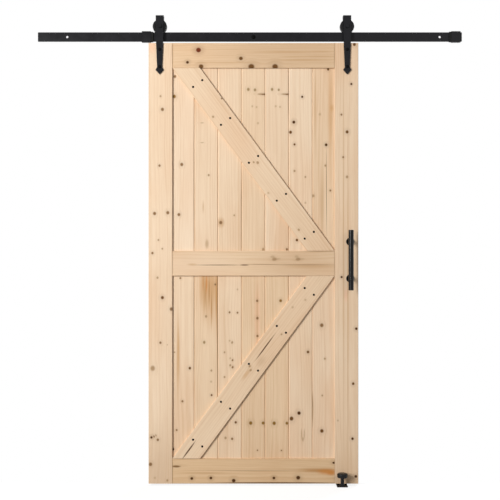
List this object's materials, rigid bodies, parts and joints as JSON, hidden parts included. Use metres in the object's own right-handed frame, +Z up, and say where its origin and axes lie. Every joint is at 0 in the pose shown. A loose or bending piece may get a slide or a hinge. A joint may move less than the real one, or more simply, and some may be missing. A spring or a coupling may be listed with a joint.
{
  "type": "sliding barn door",
  "caption": "Boarded and braced pine barn door that slides along a black flat-bar wall track on strap hangers with grooved wheels, with stops, pull handle and floor guide.",
  "frame": {"origin": "on the wall plane, at the axis of the track's middle hole, in the centre of the middle spacer's wall face", "axes": "+X along the track to the right as seen from the room, +Y into the wall, +Z up"},
  "size_m": [2.0575, 0.1155, 2.2781],
  "materials": {
    "pine": "unfinished",
    "black_steel": "satin",
    "black_nylon": "satin",
    "black_rubber": "matte"
  },
  "bodies": {
    "wall_track": {"track": "black_steel", "wall_spacer_left": "black_steel", "wall_spacer_middle": "black_steel", "wall_spacer_right": "black_steel", "stop_left": "black_steel", "stop_right": "black_steel", "bumper_left": "black_rubber", "bumper_right": "black_rubber", "guide_base": "black_steel", "guide_post": "black_steel"},
    "door": {"stile_left": "pine", "stile_right": "pine", "rail_top": "pine", "rail_middle": "pine", "rail_bottom": "pine", "brace_upper": "pine", "brace_lower": "pine", "board_upper_1": "pine", "board_upper_2": "pine", "board_upper_3": "pine", "board_upper_4": "pine", "board_upper_5": "pine", "board_upper_6": "pine", "board_upper_7": "pine", "board_lower_1": "pine", "board_lower_2": "pine", "board_lower_3": "pine", "board_lower_4": "pine", "board_lower_5": "pine", "board_lower_6": "pine", "board_lower_7": "pine", "hanger_strap_left": "black_steel", "hanger_strap_right": "black_steel", "axle_left": "black_steel", "axle_right": "black_steel", "handle_bar": "black_steel", "handle_post_upper": "black_steel", "handle_post_lower": "black_steel"},
    "wheel_left": {"wheel_left": "black_nylon"},
    "wheel_right": {"wheel_right": "black_nylon"},
    "guide_roller": {"guide_roller": "black_nylon"}
  },
  "joints": [
    {"name": "door_slide", "type": "slide", "parent": "wall_track", "child": "door", "axis": [1, 0, 0], "range_m": [0, 0.455]},
    {"name": "wheel_left_roll", "type": "hinge", "parent": "door", "child": "wheel_left", "pos_m": [-0.454, -0.038, 0.0498], "axis": [0, 1, 0], "continuous": true},
    {"name": "wheel_right_roll", "type": "hinge", "parent": "door", "child": "wheel_right", "pos_m": [0.454, -0.038, 0.0498], "axis": [0, 1, 0], "continuous": true},
    {"name": "guide_roller_spin", "type": "hinge", "parent": "wall_track", "child": "guide_roller", "pos_m": [0.428, -0.083, -2.129], "axis": [0, 0, 1], "continuous": true}
  ],
  "couplings": [
    {"joint": "wheel_left_roll", "follows": "door_slide", "rad_per_m": 37.037},
    {"joint": "wheel_right_roll", "follows": "door_slide", "rad_per_m": 37.037}
  ]
}
